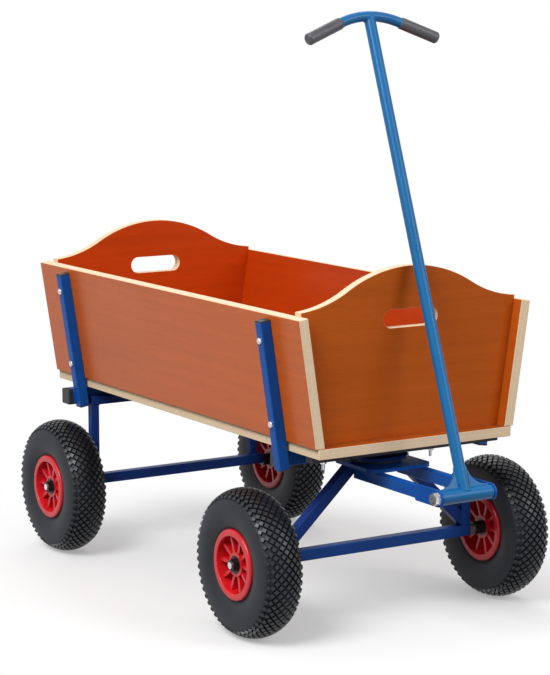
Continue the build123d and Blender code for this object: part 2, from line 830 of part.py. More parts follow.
def main():
    os.makedirs("parts", exist_ok=True)
    left_wall_panel = left_side_panel()
    left_strut = front_left_strut()
    left_arm = left_fork_arm()
    grip = left_grip()
    write("floor_panel", floor_panel())
    write("left_side_panel", left_wall_panel)
    write("right_side_panel", other_side(left_wall_panel))
    write("front_end_panel", front_end_panel())
    write("rear_end_panel", rear_end_panel())
    write("panel_dowels", end_panel_dowels())
    write("front_cross_tube", front_cross_tube())
    write("rear_cross_tube", cross_tube("rear"))
    write("rear_tube_pads", rear_tube_pads())
    write("front_floor_strip", front_floor_strip())
    for end in cross_xs:
        write(f"{end}_left_stake", left_stake(end))
        write(f"{end}_right_stake", other_side(left_stake(end)))
    write("tube_plugs", tube_plugs())
    write("stake_bolts", stake_bolts())
    write("stake_inserts", stake_inserts())
    write("floor_bolts", floor_bolts())
    write("rear_axle_bar", rear_axle_bar())
    write("rear_legs", rear_legs())
    write("rear_axle_fasteners", axle_fasteners("rear"))
    write("upper_swivel_plate", upper_swivel_plate())
    write("kingpin", kingpin_shank())
    write("kingpin_nut", kingpin_nut())
    write("slip_ring", slip_ring())
    write("swivel_plate", swivel_plate())
    write("front_axle_beam", front_axle_beam())
    write("front_axle_bar", front_axle_bar())
    write("front_legs", front_legs())
    write("front_left_strut", left_strut)
    write("front_right_strut", other_side(left_strut))
    write("front_axle_fasteners", axle_fasteners("front"))
    write("left_fork_arm", left_arm)
    write("right_fork_arm", other_side(left_arm))
    write("fork_lugs", fork_lugs())
    write("hinge_bolt", hinge_bolt())
    write("hinge_washer", hinge_washer())
    write("tee_bar", tee_bar())
    write("hinge_bushes", hinge_bushes())
    write("pole", pole())
    write("pole_gussets", pole_gussets())
    write("handlebar", handlebar())
    write("left_grip", grip)
    write("right_grip", other_side(grip))
    write_wheels()


main()
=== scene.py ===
import bmesh
import bpy
import json
import math
from mathutils import Matrix, Vector


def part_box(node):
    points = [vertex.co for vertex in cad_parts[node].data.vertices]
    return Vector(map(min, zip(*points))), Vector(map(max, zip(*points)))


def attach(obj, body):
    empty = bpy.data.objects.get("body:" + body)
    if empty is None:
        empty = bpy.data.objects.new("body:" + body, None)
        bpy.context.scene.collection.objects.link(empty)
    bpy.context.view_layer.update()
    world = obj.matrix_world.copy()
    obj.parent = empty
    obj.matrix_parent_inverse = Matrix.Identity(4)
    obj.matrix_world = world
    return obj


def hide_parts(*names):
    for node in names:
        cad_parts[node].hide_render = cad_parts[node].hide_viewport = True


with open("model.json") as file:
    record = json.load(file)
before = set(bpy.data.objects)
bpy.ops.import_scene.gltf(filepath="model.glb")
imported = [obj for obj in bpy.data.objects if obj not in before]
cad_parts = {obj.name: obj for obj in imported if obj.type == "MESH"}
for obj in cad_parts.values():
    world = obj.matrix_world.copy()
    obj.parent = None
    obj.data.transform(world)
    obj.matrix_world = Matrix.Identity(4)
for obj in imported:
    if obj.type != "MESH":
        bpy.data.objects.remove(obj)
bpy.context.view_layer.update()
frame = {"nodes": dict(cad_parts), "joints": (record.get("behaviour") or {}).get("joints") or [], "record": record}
nodes = frame["nodes"]
wheelNames = ["front_left", "front_right", "rear_left", "rear_right"]
print("wagon loaded with", len(nodes), "CAD nodes")

# camera at the photograph's place
camera = {"place": (3.4913, -2.2029, 1.0928), "aim": (-0.072, 0.015, 0.4505),
          "lens": 120.0, "sensor": 36.0, "farClip": 60.0}


def addCamera():
    data = bpy.data.cameras.new("wagonCamera")
    data.lens = camera["lens"]
    data.sensor_width = camera["sensor"]
    data.clip_end = camera["farClip"]
    obj = bpy.data.objects.new("wagonCamera", data)
    bpy.context.scene.collection.objects.link(obj)
    obj.location = camera["place"]
    look = Vector(camera["aim"]) - Vector(camera["place"])
    obj.rotation_euler = look.to_track_quat("-Z", "Y").to_euler()
    bpy.context.scene.camera = obj
    bpy.context.scene.view_settings.view_transform = "Standard"


# soft studio light on a white floor that keeps the wagon's shadow
studio = {
    "horizon": 0.15,        # sky light from the sides
    "zenith": 0.70,         # and from straight above
    "lamps": [
        {"name": "keyLamp", "place": (1.41, -3.21, 3.56), "size": 2.6, "power": 182.0},
        {"name": "fillLamp", "place": (3.4, 1.8, 2.4), "size": 2.4, "power": 56.0},
        {"name": "rearLamp", "place": (-2.8, 1.4, 3.3), "size": 2.4, "power": 30.0},
    ],
    "aim": (0.0, 0.0, 0.35),
    "floorSpan": 30.0,
    "floorBounce": 0.16,    # what the floor throws back at the wagon
    "floorShade": 0.60,     # how deep the shadow on it looks
    "floorGlow": 0.33,
    "oval": (1.0, 1.5, 1.0),
    "fade": (0.55, 0.98),   # where along the oval the floor turns plain white
}


def addLights():
    for spec in studio["lamps"]:
        lamp = bpy.data.lights.new(spec["name"], "AREA")
        lamp.shape = "DISK"
        lamp.size = spec["size"]
        lamp.energy = spec["power"]
        obj = bpy.data.objects.new(spec["name"], lamp)
        bpy.context.scene.collection.objects.link(obj)
        obj.location = spec["place"]
        aim = Vector(studio["aim"]) - Vector(spec["place"])
        obj.rotation_euler = aim.to_track_quat("-Z", "Y").to_euler()


# node helpers
def feed(tree, socket, given):
    if isinstance(given, bpy.types.NodeSocket):
        tree.links.new(given, socket)
    elif isinstance(given, tuple):
        socket.default_value = (*given, 1.0)
    else:
        socket.default_value = given


def sums(tree, operation, *given):
    node = tree.nodes.new("ShaderNodeMath")
    node.operation = operation
    for socket, value in zip(node.inputs, given):
        feed(tree, socket, value)
    return node.outputs[0]


def mixShaders(tree, share, first, second):
    node = tree.nodes.new("ShaderNodeMixShader")
    for socket, given in zip(node.inputs, (share, first, second)):
        feed(tree, socket, given)
    return node.outputs[0]


def plainShader(tree, kind, tone):
    node = tree.nodes.new(kind)
    node.inputs["Color"].default_value = (tone, tone, tone, 1.0)
    return node.outputs[0]


def seenRays(tree):
    # camera, mirror and glass rays see the white studio, the rest only light the wagon
    path = tree.nodes.new("ShaderNodeLightPath")
    seen = sums(tree, "MAXIMUM", path.outputs["Is Camera Ray"], path.outputs["Is Glossy Ray"])
    return sums(tree, "MAXIMUM", seen, path.outputs["Is Transmission Ray"])


def addWorld():
    world = bpy.data.worlds.new("studioWorld")
    world.use_nodes = True
    bpy.context.scene.world = world
    tree = world.node_tree
    tree.nodes.clear()
    out = tree.nodes.new("ShaderNodeOutputWorld")
    lit = tree.nodes.new("ShaderNodeBackground")
    sky = tree.nodes.new("ShaderNodeTexCoord").outputs["Generated"]
    rise = sums(tree, "MAXIMUM", axisOf(tree, sky, "Z"), 0.0)
    glow = sums(tree, "MULTIPLY_ADD", rise, studio["zenith"] - studio["horizon"], studio["horizon"])
    tree.links.new(glow, lit.inputs["Strength"])
    lit.inputs["Color"].default_value = (1.0, 1.0, 1.0, 1.0)
    seen = plainShader(tree, "ShaderNodeBackground", 1.0)
    tree.links.new(mixShaders(tree, seenRays(tree), lit.outputs[0], seen), out.inputs[0])


def addFloor():
    bm = bmesh.new()
    bmesh.ops.create_grid(bm, x_segments=1, y_segments=1, size=studio["floorSpan"])
    mesh = bpy.data.meshes.new("studioFloor")
    bm.to_mesh(mesh)
    bm.free()
    obj = bpy.data.objects.new("studioFloor", mesh)
    bpy.context.scene.collection.objects.link(obj)
    mat = bpy.data.materials.new("studioFloor")
    mat.use_nodes = True
    tree = mat.node_tree
    tree.nodes.clear()
    out = tree.nodes.new("ShaderNodeOutputMaterial")
    lit = plainShader(tree, "ShaderNodeBsdfDiffuse", studio["floorBounce"])
    near = tree.nodes.new("ShaderNodeAddShader")
    tree.links.new(plainShader(tree, "ShaderNodeBsdfDiffuse", studio["floorShade"]), near.inputs[0])
    tree.links.new(plainShader(tree, "ShaderNodeEmission", studio["floorGlow"]), near.inputs[1])
    far = plainShader(tree, "ShaderNodeEmission", 1.0)
    reach = tree.nodes.new("ShaderNodeVectorMath")
    reach.operation = "LENGTH"
    tree.links.new(stretched(tree, objectSpace(tree), studio["oval"]), reach.inputs[0])
    away = tree.nodes.new("ShaderNodeMapRange")
    away.interpolation_type = "SMOOTHSTEP"
    away.inputs["From Min"].default_value, away.inputs["From Max"].default_value = studio["fade"]
    tree.links.new(reach.outputs["Value"], away.inputs["Value"])
    seen = mixShaders(tree, away.outputs[0], near.outputs[0], far)
    tree.links.new(mixShaders(tree, seenRays(tree), lit, seen), out.inputs[0])
    mat.cycles.emission_sampling = "NONE"
    mesh.materials.append(mat)


def newFinish(name, gloss):
    mat = bpy.data.materials.new(name)
    mat.use_nodes = True
    shader = mat.node_tree.nodes["Principled BSDF"]
    shader.inputs["Specular IOR Level"].default_value = gloss
    return mat, mat.node_tree, shader


def objectSpace(tree):
    return tree.nodes.new("ShaderNodeTexCoord").outputs["Object"]


def boardSpace(tree, place, turn):
    node = tree.nodes.new("ShaderNodeMapping")
    node.vector_type = "TEXTURE"
    node.inputs["Location"].default_value = place
    node.inputs["Rotation"].default_value = [math.radians(angle) for angle in turn]
    tree.links.new(objectSpace(tree), node.inputs["Vector"])
    return node.outputs["Vector"]


def stretched(tree, vector, scale):
    node = tree.nodes.new("ShaderNodeMapping")
    node.inputs["Scale"].default_value = scale
    tree.links.new(vector, node.inputs["Vector"])
    return node.outputs["Vector"]


def axisOf(tree, vector, axis):
    node = tree.nodes.new("ShaderNodeSeparateXYZ")
    tree.links.new(vector, node.inputs[0])
    return node.outputs[axis]


def noise(tree, vector, scale, detail=4.0, rough=0.55, warp=0.0):
    node = tree.nodes.new("ShaderNodeTexNoise")
    node.inputs["Scale"].default_value = scale
    node.inputs["Detail"].default_value = detail
    node.inputs["Roughness"].default_value = rough
    node.inputs["Distortion"].default_value = warp
    tree.links.new(vector, node.inputs["Vector"])
    return node.outputs["Fac"]


def ramp(tree, value, stops):
    node = tree.nodes.new("ShaderNodeValToRGB")
    band = node.color_ramp
    while len(band.elements) < len(stops):
        band.elements.new(0.5)
    for element, (spot, tone) in zip(band.elements, stops):
        element.position = spot
        element.color = (*tone, 1.0) if isinstance(tone, tuple) else (tone, tone, tone, 1.0)
    tree.links.new(value, node.inputs["Fac"])
    return node.outputs["Color"]


def blendTones(tree, share, first, second, mode="MIX"):
    node = tree.nodes.new("ShaderNodeMix")
    node.data_type = "RGBA"
    node.blend_type = mode
    for socket, given in ((node.inputs[0], share), (node.inputs[6], first), (node.inputs[7], second)):
        feed(tree, socket, given)
    return node.outputs[2]


bumpStrength = 0.6


def bumped(tree, shader, height, depth):
    node = tree.nodes.new("ShaderNodeBump")
    node.inputs["Strength"].default_value = bumpStrength
    node.inputs["Distance"].default_value = depth
    tree.links.new(height, node.inputs["Height"])
    tree.links.new(node.outputs["Normal"], shader.inputs["Normal"])


def roughness(tree, pattern, middle, swing):
    # the pattern moves the roughness half a swing to each side of its middle
    return sums(tree, "MULTIPLY_ADD", pattern, swing, middle - swing / 2)


# brown film over birch plies, one finish per board because each lies at its own angle and takes its own painted
# shade
plywood = {
    "boxHalf": 0.44,        # the painted warm bounce on the inner faces ends at the end panels
    "outer": (0.66, 0.126, 0.009),
    # painted bounce light: inside the box the film takes a redder, darker copy of itself, standing in for the warm
    # light bouncing between the boards
    "inner": (0.65, 0.062, 0.003),
    "birch": (0.98, 0.79, 0.55),
    "glueLine": (0.76, 0.55, 0.36),
    "filmLip": 0.00035,
    "plies": 6.0,
    "rough": 0.32,
    "roughSwing": 0.16,
    "edgeRough": 0.8,
    "relief": 0.00012,
    "grainStretch": (1.4, 34.0, 1.0),
    "poreStretch": (6.0, 150.0, 1.0),
    "cloud": 4.0,
    "fibre": 420.0,
    "figureTones": [(0.28, 0.84), (0.70, 1.0)],     # how far each pattern darkens the wood
    "poreTones": [(0.30, 0.86), (0.52, 1.0)],
    "cloudTones": [(0.3, 0.93), (0.7, 1.0)],
    "fibreTones": [(0.3, 0.78), (0.65, 1.0)],
    "fibreShare": 0.5,
    "fibreHeight": 0.3,
}
boards = {      # turn of the board, and which way its inner face looks along the board's own depth; the shade number darkens the board's whole film as painted shade for how that board is lit
    "floor_panel": {"thick": 0.018, "turn": (0, 0, 0), "inward": 0, "gloss": 0.15, "paintedShade": 0.62},
    "left_side_panel": {"thick": 0.019, "turn": (81.3, 0, 0), "inward": 1, "gloss": 0.29, "paintedShade": 0.87},
    "right_side_panel": {"thick": 0.019, "turn": (98.7, 0, 0), "inward": -1, "gloss": 0.29, "paintedShade": 1.0},
    "front_end_panel": {"thick": 0.019, "turn": (90, 0, 90), "inward": -1, "gloss": 0.12, "paintedShade": 0.80},
    "rear_end_panel": {"thick": 0.019, "turn": (90, 0, 90), "inward": 1, "gloss": 0.12, "paintedShade": 0.93},
}


def plywoodFinish(name, spec):
    mat, tree, shader = newFinish(name + "_ply", spec["gloss"])
    low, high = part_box(name)
    board = boardSpace(tree, (low + high) / 2, spec["turn"])
    across = axisOf(tree, board, "Z")
    depth = sums(tree, "ABSOLUTE", across)
    onFace = sums(tree, "GREATER_THAN", depth, spec["thick"] / 2 - plywood["filmLip"])
    # inner faces between the end panels, where the painted bounce tone goes
    onInside = sums(tree, "GREATER_THAN", sums(tree, "MULTIPLY", across, spec["inward"]), 0.0)
    along = sums(tree, "ABSOLUTE", axisOf(tree, board, "X"))
    onInside = sums(tree, "MULTIPLY", onInside, sums(tree, "LESS_THAN", along, plywood["boxHalf"]))
    figure = noise(tree, stretched(tree, board, plywood["grainStretch"]), 1.5, 5.0, 0.6, 0.35)
    pores = noise(tree, stretched(tree, board, plywood["poreStretch"]), 5.0, 3.0, 0.6)
    cloud = noise(tree, board, plywood["cloud"], 2.0)
    fibre = noise(tree, board, plywood["fibre"], 2.0)
    shadedFilm = blendTones(tree, onInside, plywood["outer"], plywood["inner"])
    # painted shade: each board's film is darkened by its own factor, standing in for the light that board gets
    shadedFilm = blendTones(tree, 1.0, shadedFilm, (spec["paintedShade"],) * 3, "MULTIPLY")
    for pattern, tones in ((figure, "figureTones"), (pores, "poreTones"), (cloud, "cloudTones")):
        shadedFilm = blendTones(tree, 1.0, shadedFilm, ramp(tree, pattern, plywood[tones]), "MULTIPLY")
    plyTurn = 4 * math.pi * plywood["plies"] / spec["thick"]
    plyWave = sums(tree, "SINE", sums(tree, "MULTIPLY", depth, plyTurn))
    edgeTone = ramp(tree, plyWave, [(0.0, plywood["glueLine"]), (0.4, plywood["birch"])])
    fibreTone = ramp(tree, fibre, plywood["fibreTones"])
    edgeTone = blendTones(tree, plywood["fibreShare"], edgeTone, fibreTone, "MULTIPLY")
    tree.links.new(blendTones(tree, onFace, edgeTone, shadedFilm), shader.inputs["Base Color"])
    filmRough = roughness(tree, pores, plywood["rough"], plywood["roughSwing"])
    edgeRough = sums(tree, "MULTIPLY", sums(tree, "SUBTRACT", 1.0, onFace), plywood["edgeRough"])
    tree.links.new(sums(tree, "MAXIMUM", filmRough, edgeRough), shader.inputs["Roughness"])
    height = sums(tree, "MULTIPLY_ADD", fibre, plywood["fibreHeight"], pores)
    bumped(tree, shader, height, plywood["relief"])
    return mat


# powder coat on the chassis, with darker and lighter copies of it as painted shade and painted light, bare zinc
# beyond the painted part of the rear axle
metals = {
    "zinc": {"bright": (0.72, 0.73, 0.75), "dull": (0.42, 0.43, 0.46), "rough": 0.3},
    # painted shade: a near-black copy of the steel for hub hardware and axle fasteners sitting in shade
    "shadedSteel": {"bright": (0.060, 0.055, 0.055), "dull": (0.030, 0.028, 0.028), "rough": 0.45},
}
coats = {
    "blue": {"tone": (0.007, 0.092, 0.40), "deep": (0.005, 0.076, 0.35), "rough": 0.36, "gloss": 0.12},
    # painted shade: a dark navy copy of the blue coat for parts in the shadow under the wagon
    "shadedNavy": {"tone": (0.011, 0.044, 0.23), "deep": (0.009, 0.036, 0.19), "rough": 0.40, "gloss": 0.10},
    # painted shade: a somewhat darker copy of the blue coat for parts in half shade below the floor
    "halfShadedBlue": {"tone": (0.011, 0.066, 0.29), "deep": (0.009, 0.054, 0.25), "rough": 0.40, "gloss": 0.12},
    # painted light: a lighter, more cyan copy of the blue coat for the drawbar, which faces up into the light
    "litBlue": {"tone": (0.006, 0.138, 0.36), "deep": (0.005, 0.118, 0.31), "rough": 0.26, "gloss": 0.22},
    "black": {"tone": (0.018, 0.018, 0.02), "deep": (0.01, 0.01, 0.011), "rough": 0.42, "gloss": 0.3},
}
coatGrain = {"cloud": 9.0, "roughSwing": 0.16, "peel": 900.0, "relief": 0.00006}
metalGrain = {"gloss": 0.5, "spangle": 240.0, "roughSwing": 0.2, "scratch": 1400.0, "relief": 0.00004}
axlePaintEnd = 0.2066       # across the wagon, from its middle
# these parts take the navy copy of the blue coat as painted shade
shadedNodes = ("front_left_strut", "front_right_strut", "upper_swivel_plate", "rear_legs")
# these parts take the half-shaded copy of the blue coat as painted shade
beamNodes = ("front_axle_beam", "front_legs")
# these parts take the lighter copy of the blue coat as painted light
drawbarNodes = ("tee_bar", "pole", "pole_gussets", "handlebar")


def coatFinish(name, spec, bareFrom=None):
    mat, tree, shader = newFinish(name, spec["gloss"])
    space = objectSpace(tree)
    cloud = noise(tree, space, coatGrain["cloud"], 3.0)
    tone = ramp(tree, cloud, [(0.3, spec["deep"]), (0.62, spec["tone"])])
    rough = roughness(tree, cloud, spec["rough"], coatGrain["roughSwing"])
    if bareFrom:
        bare = sums(tree, "GREATER_THAN", sums(tree, "ABSOLUTE", axisOf(tree, space, "Y")), bareFrom)
        tone = blendTones(tree, bare, tone, metals["zinc"]["bright"])
        tree.links.new(bare, shader.inputs["Metallic"])
    tree.links.new(tone, shader.inputs["Base Color"])
    tree.links.new(rough, shader.inputs["Roughness"])
    bumped(tree, shader, noise(tree, space, coatGrain["peel"], 2.0), coatGrain["relief"])
    return mat


def metalFinish(name):
    spec = metals[name]
    mat, tree, shader = newFinish(name, metalGrain["gloss"])
    space = objectSpace(tree)
    spangle = noise(tree, space, metalGrain["spangle"], 3.0)
    tone = ramp(tree, spangle, [(0.3, spec["dull"]), (0.6, spec["bright"])])
    tree.links.new(tone, shader.inputs["Base Color"])
    shader.inputs["Metallic"].default_value = 1.0
    rough = roughness(tree, spangle, spec["rough"], metalGrain["roughSwing"])
    tree.links.new(rough, shader.inputs["Roughness"])
    bumped(tree, shader, noise(tree, space, metalGrain["scratch"], 2.0), metalGrain["relief"])
    return mat


# moulded plastics, rubbers and foam
moulded = {
    "red": {"tone": (0.70, 0.010, 0.019), "deep": (0.60, 0.007, 0.014), "cloud": 30.0,
            "rough": 0.30, "gloss": 0.5, "grain": 700.0, "relief": 0.00005},
    "plugBlack": {"tone": (0.022, 0.022, 0.024), "deep": (0.012, 0.012, 0.013), "cloud": 30.0,
                  "rough": 0.5, "gloss": 0.4, "grain": 900.0, "relief": 0.00005},
    "nylon": {"tone": (0.78, 0.76, 0.70), "deep": (0.66, 0.63, 0.56), "cloud": 30.0,
              "rough": 0.45, "gloss": 0.5, "grain": 900.0, "relief": 0.00005},
    "foam": {"tone": (0.066, 0.063, 0.074), "deep": (0.042, 0.040, 0.047), "cloud": 60.0,
             "rough": 0.45, "gloss": 0.6, "grain": 520.0, "relief": 0.0002},
    "tubeRubber": {"tone": (0.02, 0.02, 0.02), "deep": (0.012, 0.012, 0.012), "cloud": 30.0,
                   "rough": 0.7, "gloss": 0.3, "grain": 500.0, "relief": 0.0001},
    "carcass": {"tone": (0.017, 0.019, 0.025), "deep": (0.011, 0.012, 0.015), "cloud": 22.0,
                "rough": 0.55, "gloss": 0.3, "grain": 800.0, "relief": 0.00010},
    "tread": {"tone": (0.013, 0.015, 0.019), "deep": (0.008, 0.009, 0.012), "cloud": 40.0,
              "rough": 0.36, "gloss": 0.42, "grain": 800.0, "relief": 0.00010},
}


mouldedSwing = 0.2      # of the roughness
dowelBeech = {"tone": (0.70, 0.52, 0.33), "deep": (0.50, 0.33, 0.18), "stretch": (1.0, 8.0, 8.0),
              "grain": 40.0, "rough": 0.6, "roughSwing": 0.2, "gloss": 0.3}


def mouldedFinish(name):
    spec = moulded[name]
    mat, tree, shader = newFinish(name, spec["gloss"])
    space = objectSpace(tree)
    cloud = noise(tree, space, spec["cloud"], 3.0)
    grain = noise(tree, space, spec["grain"], 2.0)
    tone = ramp(tree, cloud, [(0.3, spec["deep"]), (0.65, spec["tone"])])
    tree.links.new(tone, shader.inputs["Base Color"])
    tree.links.new(roughness(tree, grain, spec["rough"], mouldedSwing), shader.inputs["Roughness"])
    bumped(tree, shader, grain, spec["relief"])
    return mat


def beechFinish(name):
    mat, tree, shader = newFinish(name, dowelBeech["gloss"])
    fibres = stretched(tree, objectSpace(tree), dowelBeech["stretch"])
    grain = noise(tree, fibres, dowelBeech["grain"])
    tone = ramp(tree, grain, [(0.3, dowelBeech["deep"]), (0.7, dowelBeech["tone"])])
    tree.links.new(tone, shader.inputs["Base Color"])
    rough = roughness(tree, grain, dowelBeech["rough"], dowelBeech["roughSwing"])
    tree.links.new(rough, shader.inputs["Roughness"])
    return mat


def dressNodes():
    finishes = {
        "blue_steel": coatFinish("blueCoat", coats["blue"]),
        "black_steel": coatFinish("blackCoat", coats["black"]),
        "zinc": metalFinish("zinc"),
        "black_plastic": mouldedFinish("plugBlack"),
        "red_plastic": mouldedFinish("red"),
        "tyre_rubber": mouldedFinish("carcass"),
        "tread_rubber": mouldedFinish("tread"),
        "tube_rubber": mouldedFinish("tubeRubber"),
        "grip_foam": mouldedFinish("foam"),
        "nylon": mouldedFinish("nylon"),
        "beech": beechFinish("dowelBeech"),
        # the drawbar and its welds take the lighter blue copy as painted light
        "drawbar": coatFinish("drawbarCoat", coats["litBlue"]),
    }
    special = {name: plywoodFinish(name, spec) for name, spec in boards.items()}
    # the rear axle's coat is the navy copy, painted shade under the wagon
    special["rear_axle_bar"] = coatFinish("axleCoat", coats["shadedNavy"], axlePaintEnd)
    shadedNavyCoat = coatFinish("shadedNavyCoat", coats["shadedNavy"])
    special.update({name: shadedNavyCoat for name in shadedNodes})
    beamCoat = coatFinish("beamCoat", coats["halfShadedBlue"])
    special.update({name: beamCoat for name in beamNodes})
    special["slip_ring"] = finishes["black_plastic"]    # painted shade: the slip ring between the swivel plates takes the black plastic finish
    special.update({name: finishes["drawbar"] for name in drawbarNodes})
    # the zinc hub hardware and axle fasteners take the near-black steel as painted shade
    shadedSteel = metalFinish("shadedSteel")
    special.update({f"{wheel}_hub_hardware": shadedSteel for wheel in wheelNames})
    special.update({f"{end}_axle_fasteners": shadedSteel for end in ("front", "rear")})
    for part in frame["record"]["subparts"]:
        name = part["node"]
        mat = special.get(name) or finishes[part["material_slot"]]
        nodes[name].data.materials.clear()
        nodes[name].data.materials.append(mat)
    return finishes


sharpAngle = 38.0


# new pieces go in with their place in the mesh
def addPiece(name, bm, mats, body):
    mesh = bpy.data.meshes.new(name)
    bm.to_mesh(mesh)
    for mat in mats:
        mesh.materials.append(mat)
    mesh.shade_smooth()
    mesh.set_sharp_from_angle(angle=math.radians(sharpAngle))
    obj = bpy.data.objects.new(name, mesh)
    bpy.context.scene.collection.objects.link(obj)
    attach(obj, body)
    return obj


# pneumatic tyre with a diamond block tread, drawn about the wheel axle along Y, in metres
tyre = {
    "crownR": 0.0531,       # arc of the tread across its width
    "crownMid": 0.0769,     # centre of that arc from the axle
    "groove": 0.0045,
    "root": 0.0012,         # how far a block reaches into the carcass
    "around": 54,
    "rows": [(0.0, 0), (7.6, 1), (15.2, 0), (22.8, 1), (30.4, 0)],
    "block": {"long": 0.0048, "wide": 0.0046, "flare": 1.30},
    "knob": {"angle": 39.0, "long": 0.0042, "wide": 0.0040, "tall": 0.0060, "flare": 1.35},
    "flank": [(0.0503, 0.0180), (0.0503, 0.0290), (0.0623, 0.0291), (0.0640, 0.0302), (0.0655, 0.0311),
              (0.0662, 0.0321), (0.0676, 0.0328), (0.0684, 0.0325), (0.0720, 0.0341), (0.0760, 0.0355),
              (0.0800, 0.0366), (0.0850, 0.0375), (0.0920, 0.0379), (0.0985, 0.0377), (0.1020, 0.0373),
              (0.1060, 0.0366), (0.1100, 0.0357), (0.1124, 0.0350), (0.1134, 0.0342)],
    "crownSteps": (40.0, 34.0, 28.0, 21.0, 14.0, 7.0),
    "spinSteps": 90,
    "mergeGap": 1e-6,
}


def crownPoint(angle, depth):
    reach = tyre["crownR"] - depth
    return tyre["crownMid"] + reach * math.cos(angle), reach * math.sin(angle)


def spunCarcass():
    bm = bmesh.new()
    half = list(tyre["flank"])
    for angle in tyre["crownSteps"]:
        half.append(crownPoint(math.radians(angle), tyre["groove"]))
    outline = half + [crownPoint(0.0, tyre["groove"])] + [(r, -y) for r, y in reversed(half)]
    verts = [bm.verts.new((r, y, 0.0)) for r, y in outline]
    edges = [bm.edges.new(pair) for pair in zip(verts, verts[1:])]
    bmesh.ops.spin(bm, geom=verts + edges, cent=(0, 0, 0), axis=(0, 1, 0), angle=2 * math.pi,
                   steps=tyre["spinSteps"], use_merge=True)
    bmesh.ops.remove_doubles(bm, verts=bm.verts, dist=tyre["mergeGap"])
    bmesh.ops.recalc_face_normals(bm, faces=bm.faces)
    return bm


def treadRow(bm, angle, phase, block, tall):
    upright = Matrix(((0, 0, 1, 0), (0, 1, 0, 0), (-1, 0, 0, 0), (0, 0, 0, 1)))
    step = 2 * math.pi / tyre["around"]
    stand = Matrix.Rotation(step / 2 * phase, 4, "Y") @ Matrix.Translation((tyre["crownMid"], 0, 0))
    stand = stand @ Matrix.Rotation(math.radians(angle), 4, "Z")
    stand = stand @ Matrix.Translation((tyre["crownR"] - tall / 2, 0, 0)) @ upright
    made = bmesh.ops.create_cone(bm, cap_ends=True, segments=4, radius1=block["flare"], radius2=1.0,
                                 depth=tall)
    bmesh.ops.scale(bm, vec=(block["long"], block["wide"], 1.0), verts=made["verts"])
    bmesh.ops.transform(bm, matrix=stand, verts=made["verts"])
    faces = list({face for vert in made["verts"] for face in vert.link_faces})
    edges = list({edge for face in faces for edge in face.edges})
    bmesh.ops.spin(bm, geom=made["verts"] + edges + faces, cent=(0, 0, 0), axis=(0, 1, 0),
                   angle=2 * math.pi - step, steps=tyre["around"] - 1, use_duplicate=True)


def treadBlocks():
    bm = bmesh.new()
    for angle, phase in tyre["rows"]:
        for side in ((1, -1) if angle else (1,)):
            treadRow(bm, side * angle, phase, tyre["block"], tyre["groove"] + tyre["root"])
    knob = tyre["knob"]
    for side in (1, -1):
        treadRow(bm, side * knob["angle"], 0, knob, knob["tall"])
    bmesh.ops.recalc_face_normals(bm, faces=bm.faces)
    for face in bm.faces:
        face.material_index = 1
    return bm


def addTyres(finishes):
    whole = spunCarcass()
    tread = treadBlocks()
    blocks = bpy.data.meshes.new("tread")
    tread.to_mesh(blocks)
    tread.free()
    whole.from_mesh(blocks)
    bpy.data.meshes.remove(blocks)
    mats = [finishes["tyre_rubber"], finishes["tread_rubber"]]
    for wheel in wheelNames:
        low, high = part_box(f"{wheel}_tyre")
        bm = whole.copy()
        bmesh.ops.translate(bm, vec=(low + high) / 2, verts=bm.verts)
        obj = addPiece(f"{wheel}_treaded_tyre", bm, mats, f"{wheel}_wheel")
        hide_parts(f"{wheel}_tyre")
        bm.free()
    whole.free()


# hand-laid weld beads where the tubes meet
welds = {"radius": 0.0019, "pinch": 0.8, "tip": 0.5, "pitch": 0.0017, "sides": 7,
         "fewest": 3}
hinge = next(joint["pos_m"] for joint in frame["joints"] if joint["name"] == "pull_pole")
drawbar = {"place": Matrix.Translation(hinge) @ Matrix.Rotation(math.radians(-20.4), 4, "Y"),
           "poleR": 0.0104, "teeR": 0.012, "barR": 0.009, "barZ": 0.839,
           "teeArcs": ((-68, 68), (112, 248)),      # degrees round the pole
           "barArcs": ((38, 142), (218, 322)),
           "gussetX": 0.0026, "gussetFoot": (0.013, 0.047), "gussetFootZ": 0.0121,
           "gussetSide": 0.0102, "gussetRise": (0.016, 0.046)}
forkBeads = {
    "plate": {"off": 0.0004, "drop": 0.0006, "back": 0.006, "front": 0.008},
    "lugBack": {"off": 0.0006, "back": 0.0003, "ends": 0.008},
    "lugTop": {"inset": 0.0006, "lift": 0.0002, "back": 0.010, "front": 0.002},
    "leg": {"inset": 0.0204, "lift": 0.0283, "ends": 0.002},
}
chassisBeads = {
    "stakeFoot": (0.207, 0.3415),   # across and up, where the panel's outer face passes the floor's top
    "stakeLean": 8.7,
    # the front tube ends behind its stakes, so only the inner corner there has a bead
    "stakeCorners": {"front": (-0.0004,), "rear": (-0.0004, 0.0204)},
    "stake": {"off": 0.0004, "low": 0.003, "high": 0.002},
    "leg": {"inset": 0.0173, "off": 0.0003, "lift": 0.0004, "drop": 0.0174, "ends": 0.001,
            "face": (0.016, 0.001)},
}


def straight(start, end):
    start, end = Vector(start), Vector(end)
    steps = max(welds["fewest"], round((end - start).length / welds["pitch"]))
    return [start.lerp(end, step / steps) for step in range(steps + 1)]


def alongX(start, end, y, z):
    return straight((start, y, z), (end, y, z))


def roundPole(first, last, crossR, lift):
    # round the pole where it meets a bar across it, lift is +1 above the bar and -1 below it
    steps = round(math.radians(last - first) * drawbar["poleR"] / welds["pitch"])
    route = []
    for step in range(steps + 1):
        angle = math.radians(first + (last - first) * step / steps)
        x, y = drawbar["poleR"] * math.cos(angle), drawbar["poleR"] * math.sin(angle)
        route.append(Vector((x, y, lift * math.sqrt(crossR ** 2 - x ** 2))))
    return route


